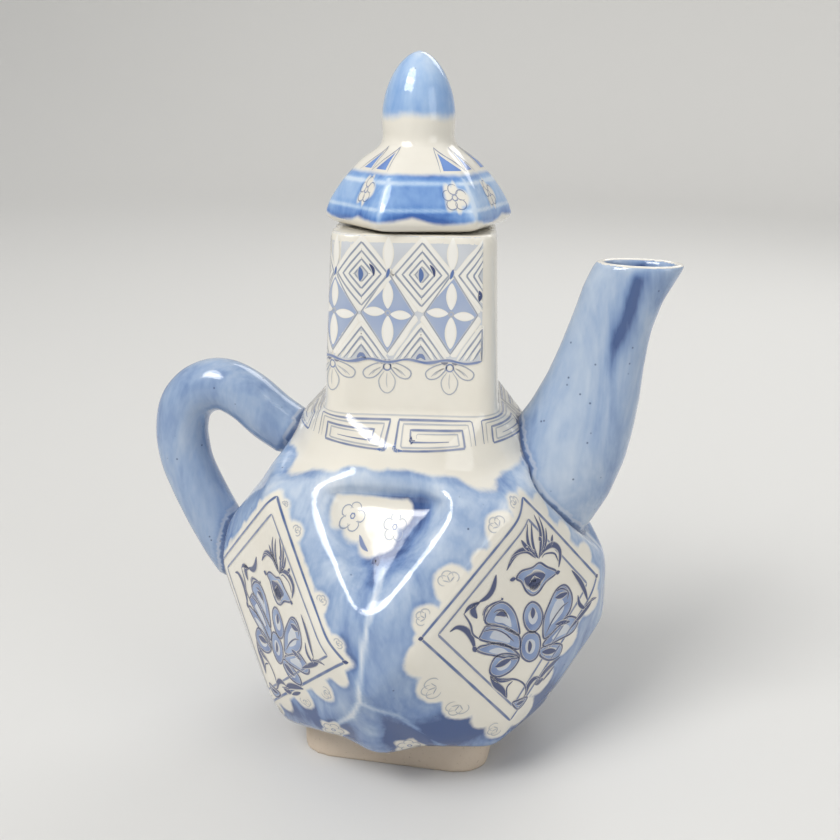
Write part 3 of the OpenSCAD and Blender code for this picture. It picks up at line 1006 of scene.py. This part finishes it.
def paint_frame(brush, corners):
    """A frame of two lines."""
    middle = corners.mean(0)
    for k in range(4):
        a, b = corners[k], corners[(k + 1) % 4]
        outer = [a, (a * 2 + b) / 3, (a + 2 * b) / 3, b]
        brush.line(outer, 1.15, SLATE_BLUE, smooth=False, ends=(0.02, 0.02))
        a, b = (c + (middle - c) / np.hypot(*(middle - c)) * 6.0 for c in (a, b))
        brush.line([a, (a + b) / 2, b], 1.0, SLATE_BLUE, smooth=False, ends=(0.02, 0.02), strength=0.85)


def paint_flower(brush, there):
    """The large flower; there() fits its points to a panel."""
    for p in PETALS:
        q = there(p)
        brush.fill(q, FILL, MID, strength=0.9)
        brush.fill(q.mean(0) + (q - q.mean(0)) * 0.5, PALE, FILL, strength=0.5, lift=0.06)
        brush.line(q, 0.95, closed=True, lift=0.08)
    for w, p in THIN:
        brush.line(there(p), w * 1.15, lift=0.09)
    for w, p in LEAVES:
        brush.leaf(there(p), w * 1.12, lift=0.08)
    for w, p in DARK_SPOTS:
        brush.leaf(there(p), w, lift=0.09)


def paint_margin(brush, j):
    """Petals drawn thinly on the margin's bumps below a frame."""
    seen, flip = facing(j)
    for i, (edge, along, far, r) in enumerate(BUMPS):
        if edge < 2 or i in (8, 11, 14):
            continue
        far, r = far * LACE[j], r * LACE[j]
        c = beside(seen, edge, along, far + r * 0.3)
        way = beside(seen, edge, along, far + 1) - beside(seen, edge, along, far)
        start = math.degrees(math.atan2(way[1], way[0])) + 25 * math.sin(i * 2.3)
        for swing in (-62, -4, 55):
            s = math.radians(start + swing)
            out = np.array([math.cos(s), math.sin(s)])
            q = c + out * r * 0.3
            petal = ring_points(q[0], q[1], r * 0.27, r * 0.24, 7, start + swing - 110, 220)
            brush.line(np.array(petal) * (flip, 1), 0.5, SLATE, strength=0.5)
            vein = [c + out * r * m for m in (0.02, 0.16, 0.34)]
            brush.line(np.array(vein) * (flip, 1), 0.5, SLATE, strength=0.6)


def paint_panels(brush):
    home = np.column_stack([np.array(FRAMES[0]), np.ones(4)])
    for j, corners in enumerate(FRAMES):
        brush.place = panel_place(j)
        corners = np.array(corners)
        fit, *_ = np.linalg.lstsq(home, corners, rcond=None)
        middle = corners.mean(0)
        size = 1.0 if j == 0 else 0.88

        def there(flat):
            p = np.asarray(flat, float).reshape(-1, 2)
            return middle + (np.column_stack([p, np.ones(len(p))]) @ fit - middle) * size

        paint_frame(brush, corners)
        paint_flower(brush, there)
        for c in (corners[1], corners[3]):
            brush.leaf([c - (0.9, 0), c, c + (0.9, 0.2)], 1.8, lift=0.09)
        paint_margin(brush, j)


def paint_hollows(brush):
    """Thin flowers in the sunken triangles and on the corners of the tongues."""
    flowers = [(-10.5, 97.5, 3.6), (3.6, 95.6, FLOWER_R)] + [(*at, FLOWER_R) for at in TONGUE_FLOWERS]
    for k in range(4):
        brush.place = front_place(k)
        for cu, cv, r in flowers:
            for i in range(5):
                a = math.radians(72 * i + 20 * (cu > 0))
                mu, mv = cu + r * 0.62 * math.cos(a), cv + r * 0.62 * math.sin(a)
                petal = [(mu + r * 0.44 * math.cos(a + b) * 1.1, mv + r * 0.44 * math.sin(a + b))
                         for b in np.radians([-120, -60, 0, 60, 120])]
                brush.line(petal, 0.45, SLATE, strength=0.7)
            brush.line(ring_points(cu, cv, 0.7, 0.7, 6), 0.5, MID, closed=True, strength=0.8)
        brush.leaf([(-1.6, 86.4), (-0.4, 87.4), (0.4, 86.0)], 2.4, lift=0.09, strength=0.85)
        brush.leaf([(-7.2, 93.0), (-5.6, 90.6), (-3.6, 89.2)], 1.6, MID, lift=0.09, strength=0.8)


NECK_PITCH = 20.0                   # mm from flower to flower
NECK_ENDS = (-121.4, 26.7)          # where the lattice starts and stops round the neck
NECK_FLOWERS = [16.7, -3.3] + [-21.2 - NECK_PITCH * i for i in range(6)]
BAND_Z, NECK_TOP = 145.4, 184.7     # heights of the lattice's lower and upper edge
CELL_Z, DIAMOND_Z, PEAK_Z = 160.5, 172.8, 145.8


def cut(points):
    """Points kept between the ends of the lattice."""
    return [(min(max(u, NECK_ENDS[0]), NECK_ENDS[1]), v) for u, v in points]


def neck_flower(brush, f):
    """A white flower on a blue diamond, with a bud above it."""
    cell = [(f - 8.6, CELL_Z), (f, 173.4), (f + 8.4, CELL_Z), (f, 147.8)]
    for side, (a, b) in enumerate(zip(cell, cell[1:] + cell[:1])):
        between = (np.array(a) * m + np.array(b) * (1 - m) for m in (0.95, 0.5, 0.05))
        grown = [(f + (q[0] - f) * 1.12, CELL_Z + (q[1] - CELL_Z) * 1.12) for q in between]
        brush.line(cut(grown), 2.5, WHITE, smooth=False, ends=(0.02, 0.02), lift=0.055 + 0.006 * side,
                   strength=0.85)
    brush.fill(cell, LAVENDER, srgb(142, 162, 202), smooth=False, strength=0.88, lift=0.08)
    brush.line(cell, 0.6, SLATE, closed=True, smooth=False, strength=0.7, lift=0.1)
    for u, v, lu, lv, w in ((f, 166.2, 0, 4.2, 3.4), (f, 154.6, 0, -5.0, 3.8),
                            (f - 4.3, 161.0, -3.3, 0.2, 3.0), (f + 4.1, 160.0, 3.2, -0.2, 3.0)):
        brush.leaf([(u - lu, v - lv), (u, v), (u + lu, v + lv)], w, WHITE, lift=0.13, strength=1)
    brush.line(ring_points(f, 160.6, 0.8, 0.8, 6), 0.4, SLATE, closed=True, lift=0.14, strength=0.6)
    brush.leaf([(f, NECK_TOP - 0.4), (f, 179.8), (f, 174.4)], 3.6, WHITE, lift=0.12, strength=1)
    brush.leaf([(f - 0.5, 171.6), (f, 173.2), (f + 0.3, 174.8)], 1.4, MID, lift=0.12)


def hanging_flower(brush, f):
    """A flower that hangs below the lattice."""
    petal = [(1.2, 144.6), (4.6, 143.9), (7.6, 141.8), (6.8, 139.6), (4.0, 139.9), (1.4, 142.6)]
    for s in (-1, 1):
        brush.line([(f + s * u, v) for u, v in petal], 0.55, SLATE, closed=True, strength=0.7)
        for q in (0.45, 0.7):
            vein = [(1.8, 143.2), (2.2 + 3 * q, 142.6 - q), (3 + 4.2 * q, 141.8 - 2.2 * q)]
            brush.line([(f + s * u, v) for u, v in vein], 0.4, SLATE, strength=0.5)
    drop = [(-0.8, 142.0), (-2.6, 139.0), (-2.0, 136.0), (0, 134.6), (2.0, 136.0), (2.6, 139.0), (0.8, 142.0)]
    brush.line([(f + u, v) for u, v in drop], 0.5, SLATE, strength=0.6)
    brush.line([(f, 141.4), (f - 0.2, 138.6), (f + 0.1, 136.4)], 0.4, SLATE, strength=0.45)
    brush.line(ring_points(f, 143.3, 1.2, 1.2, 8), 0.6, MID, closed=True, strength=0.85)
    for s in (-1, 1):
        sepal = [(f + s * 3.2, 145.5), (f + s * 1.6, 144.8), (f + s * 0.4, 145.6)]
        brush.leaf(sepal, 1.5, lift=0.1, strength=0.75)


def neck_diamonds(brush, d):
    """Nested diamonds between two flowers, open where the lattice ends."""
    low, high = NECK_ENDS
    for size, tone in ((0.94, 0.75), (0.68, 0.8), (0.44, 0.8), (0.24, 0.7)):
        for colour, wide, lift, more, strong in ((WHITE, 1.7, 0.09, 0.12, 0.85), (SLATE, 0.7, 0.11, 0, tone)):
            across, up = 9.0 * (size + more), 10.6 * (size + more)
            left, right = (d - across, DIAMOND_Z), (d + across, DIAMOND_Z)
            top, bottom = (d, min(NECK_TOP - 0.3, DIAMOND_Z + up)), (d, DIAMOND_Z - up)
            style = {"smooth": False, "strength": strong, "lift": lift}
            if high > d + across and low < d - across:
                brush.line([left, top, right, bottom], wide, colour, closed=True, **style)
            elif d > 0:
                brush.line(cut([top, left, bottom]), wide, colour, **style)
    if low < d < high:
        brush.leaf([(d - 0.6, 175.0), (d - 0.2, 172.6), (d - 0.5, 170.4)], 2.2, MID, lift=0.12)
        brush.leaf([(d + 2.4, 176.0), (d + 3.6, 174.4), (d + 3.9, 172.2)], 1.3, lift=0.12)


def neck_peaks(brush, d):
    """Nested peaks under the diamonds."""
    for size in (1.0, 0.72, 0.44):
        for colour, wide, lift, more in ((WHITE, 1.5, 0.09, 0.11), (SLATE, 0.7, 0.11, 0)):
            across, up = 7.6 * (size + more), 10.2 * (size + more)
            peak = cut([(d - across, PEAK_Z), (d, PEAK_Z + up), (d + across, PEAK_Z)])
            brush.line(peak, wide, colour, smooth=False, strength=0.8, lift=lift)
    if d < NECK_ENDS[1]:
        brush.leaf([(d - 1.4, 145.8), (d, 147.2), (d + 1.6, 145.8)], 1.9, MID, lift=0.12, strength=0.85)


def paint_neck(brush):
    low, high = NECK_ENDS
    brush.place = neck_place
    band = [(low, BAND_Z), (high, BAND_Z), (high, NECK_TOP), (low, NECK_TOP)]
    brush.fill(band, LAVENDER, PALE, smooth=False, strength=0.5, gap=2.0)
    for i, f in enumerate(NECK_FLOWERS):
        if f - 8.5 > low:
            neck_flower(brush, f)
            hanging_flower(brush, f)
        d = (f + NECK_FLOWERS[i - 1]) / 2 + 0.6 if i else f + NECK_PITCH / 2 + 0.6
        neck_diamonds(brush, d)
        if low < d < high + 8:
            neck_peaks(brush, d)
    hem = [(u, 145.3 + 0.5 * math.sin(u * 0.5)) for u in np.linspace(low, high, 60)]
    brush.line(hem, 1.1, MID, ends=(0.01, 0.01), wobble=0.8, lift=0.12, strength=0.85)
    brush.leaf([(25.4, 168.2), (25.9, 166.6), (25.5, 164.8)], 2.0, lift=0.12)


def paint_shoulder(brush):
    """A key pattern of eight turned spirals, and a thin line above it."""
    brush.place = key_place
    spiral = [(0.0, 0.04), (0.0, 1.0), (1.0, 1.0), (1.0, 0.0), (0.15, 0.0), (0.15, 0.68), (0.82, 0.68),
              (0.82, 0.30), (0.34, 0.30)]
    echo = [(0.06, 0.04), (0.06, 0.87), (0.93, 0.87), (0.93, 0.12), (0.22, 0.12), (0.22, 0.56),
            (0.74, 0.56), (0.74, 0.42)]
    for base in range(-135, 225, 45):
        mirrored = base % 90 == 0

        def at(points):
            turns = [1 - x if mirrored else x for x, _ in points]
            return [((base + 2.5 + 40 * x) * KEY_MM, 118.6 + 7.8 * p[1]) for x, p in zip(turns, points)]
        brush.line(at(spiral), 0.85, SLATE_BLUE, smooth=False, strength=0.8)
        brush.line(at(echo), 0.6, SLATE, smooth=False, strength=0.55)
        brush.leaf(at([(0.9, 0.0), (1.0, 0.03), (1.0, 0.3)]), 1.4, MID)
        brush.leaf(at([(0.76, 0.36), (0.81, 0.3), (0.81, 0.5)]), 1.3)
    brush.line([(u * KEY_MM, 127.6) for u in np.linspace(-180, 176, 90)], 0.6, SLATE, strength=0.4)


def paint_lid(brush):
    brush.place = lid_place
    for u, slant in ((6.5, 11.5), (19, 8), (-17, -9.5), (-28, -8), (36, 11), (49, 8), (67, 11), (80, 8),
                     (97, 11), (110, 8)):
        inset = u + math.copysign(1.4, slant)
        sail = [(inset, 209.0), (inset, 204.0), (u + slant * 0.86, 204.0)]
        brush.fill(sail, srgb(96, 144, 214), srgb(70, 114, 190), smooth=False, strength=0.9)
        outer = [(u, 203.6), (u, 210.6), (u + slant * 0.7, 206.8), (u + slant * 1.15, 203.4)]
        brush.line(outer, 0.5, SLATE_BLUE, smooth=False, strength=0.8)
    for u, h in LID_FLOWERS:
        for q in range(5):
            t = math.radians(72 * q + 20)
            petal = ring_points(u + 2.4 * math.cos(t), h + 2.4 * math.sin(t), 1.7, 1.5, 8, 40 * q, 300)
            brush.line(petal, 0.42, SLATE_BLUE, strength=0.7)
        brush.line(ring_points(u, h, 0.9, 0.9, 6), 0.5, MID, closed=True, strength=0.8)


# ---------------------------------------------------------------- the object
# middle line of the handle: (x, z), running into the body at both ends
HANDLE_LINE = [(-38, 106), (-50.5, 113.5), (-60, 121), (-69, 125), (-77.5, 123.2), (-83.6, 117), (-86, 108),
               (-85.2, 98), (-82, 88), (-77.6, 79), (-72.8, 70), (-66.6, 60), (-60.5, 52.5)]
HANDLE_R = 9.4
BODY_VOXEL, BODY_ROUNDS = ((1.35, 42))

studio()
camera()
glaze_pot = glaze("glazed porcelain", POT_BLUE)
glaze_tube = glaze("glazed porcelain, brushed", TUBE_BLUE, streaks=(1, 1, 0.3), specks=1.0)
glaze_lid = glaze("glazed porcelain, clear blue", LID_BLUE, wander=1.2, specks=0.2)
bare = biscuit("bare porcelain")

pot = softened("pot_shell", ["pot_body", "neck"], BODY_VOXEL, BODY_ROUNDS, body_softness)
spout = softened("spout_tube", ["spout"], 1.0, 14, base=pot)
handle = rolled_tube("handle_loop", HANDLE_LINE, HANDLE_R)
foot = softened("foot_rim", ["foot_ring"], 0.9, 4)
lid = softened("lid_dome", ["lid_cap", "finial"], 0.8, 60, lid_softness)
collar = softened("lid_rim", ["lid_collar"], 0.8, 3)

body, tube, loop, rim = (Skin(ob) for ob in (pot, spout, handle, foot))
dome, inner_rim = (Skin(ob, LID_AXIS) for ob in (lid, collar))
pot_wash(body)
tube_washes(body, tube, loop)
lid_wash(dome)
dome.paint(seam=9.0)
for part in (body, tube, loop, rim, dome, inner_rim):
    part.store()

brush = Brush(body, "pot_brushwork")
paint_panels(brush)
paint_hollows(brush)
paint_neck(brush)
paint_shoulder(brush)
pot_paint = brush.build()
brush = Brush(dome, "lid_brushwork")
paint_lid(brush)
lid_paint = brush.build()

finish_piece(pot, "pot", glaze_pot, ["pot_body", "neck"])
finish_piece(pot_paint, "pot", glaze_pot)
finish_piece(spout, "pot", glaze_tube, ["spout"])
finish_piece(handle, "pot", glaze_tube, ["handle"])
finish_piece(foot, "pot", bare, ["foot_ring"])
finish_piece(lid, "lid", glaze_lid, ["lid_cap", "finial"])
finish_piece(lid_paint, "lid", glaze_lid)
finish_piece(collar, "lid", bare, ["lid_collar"])
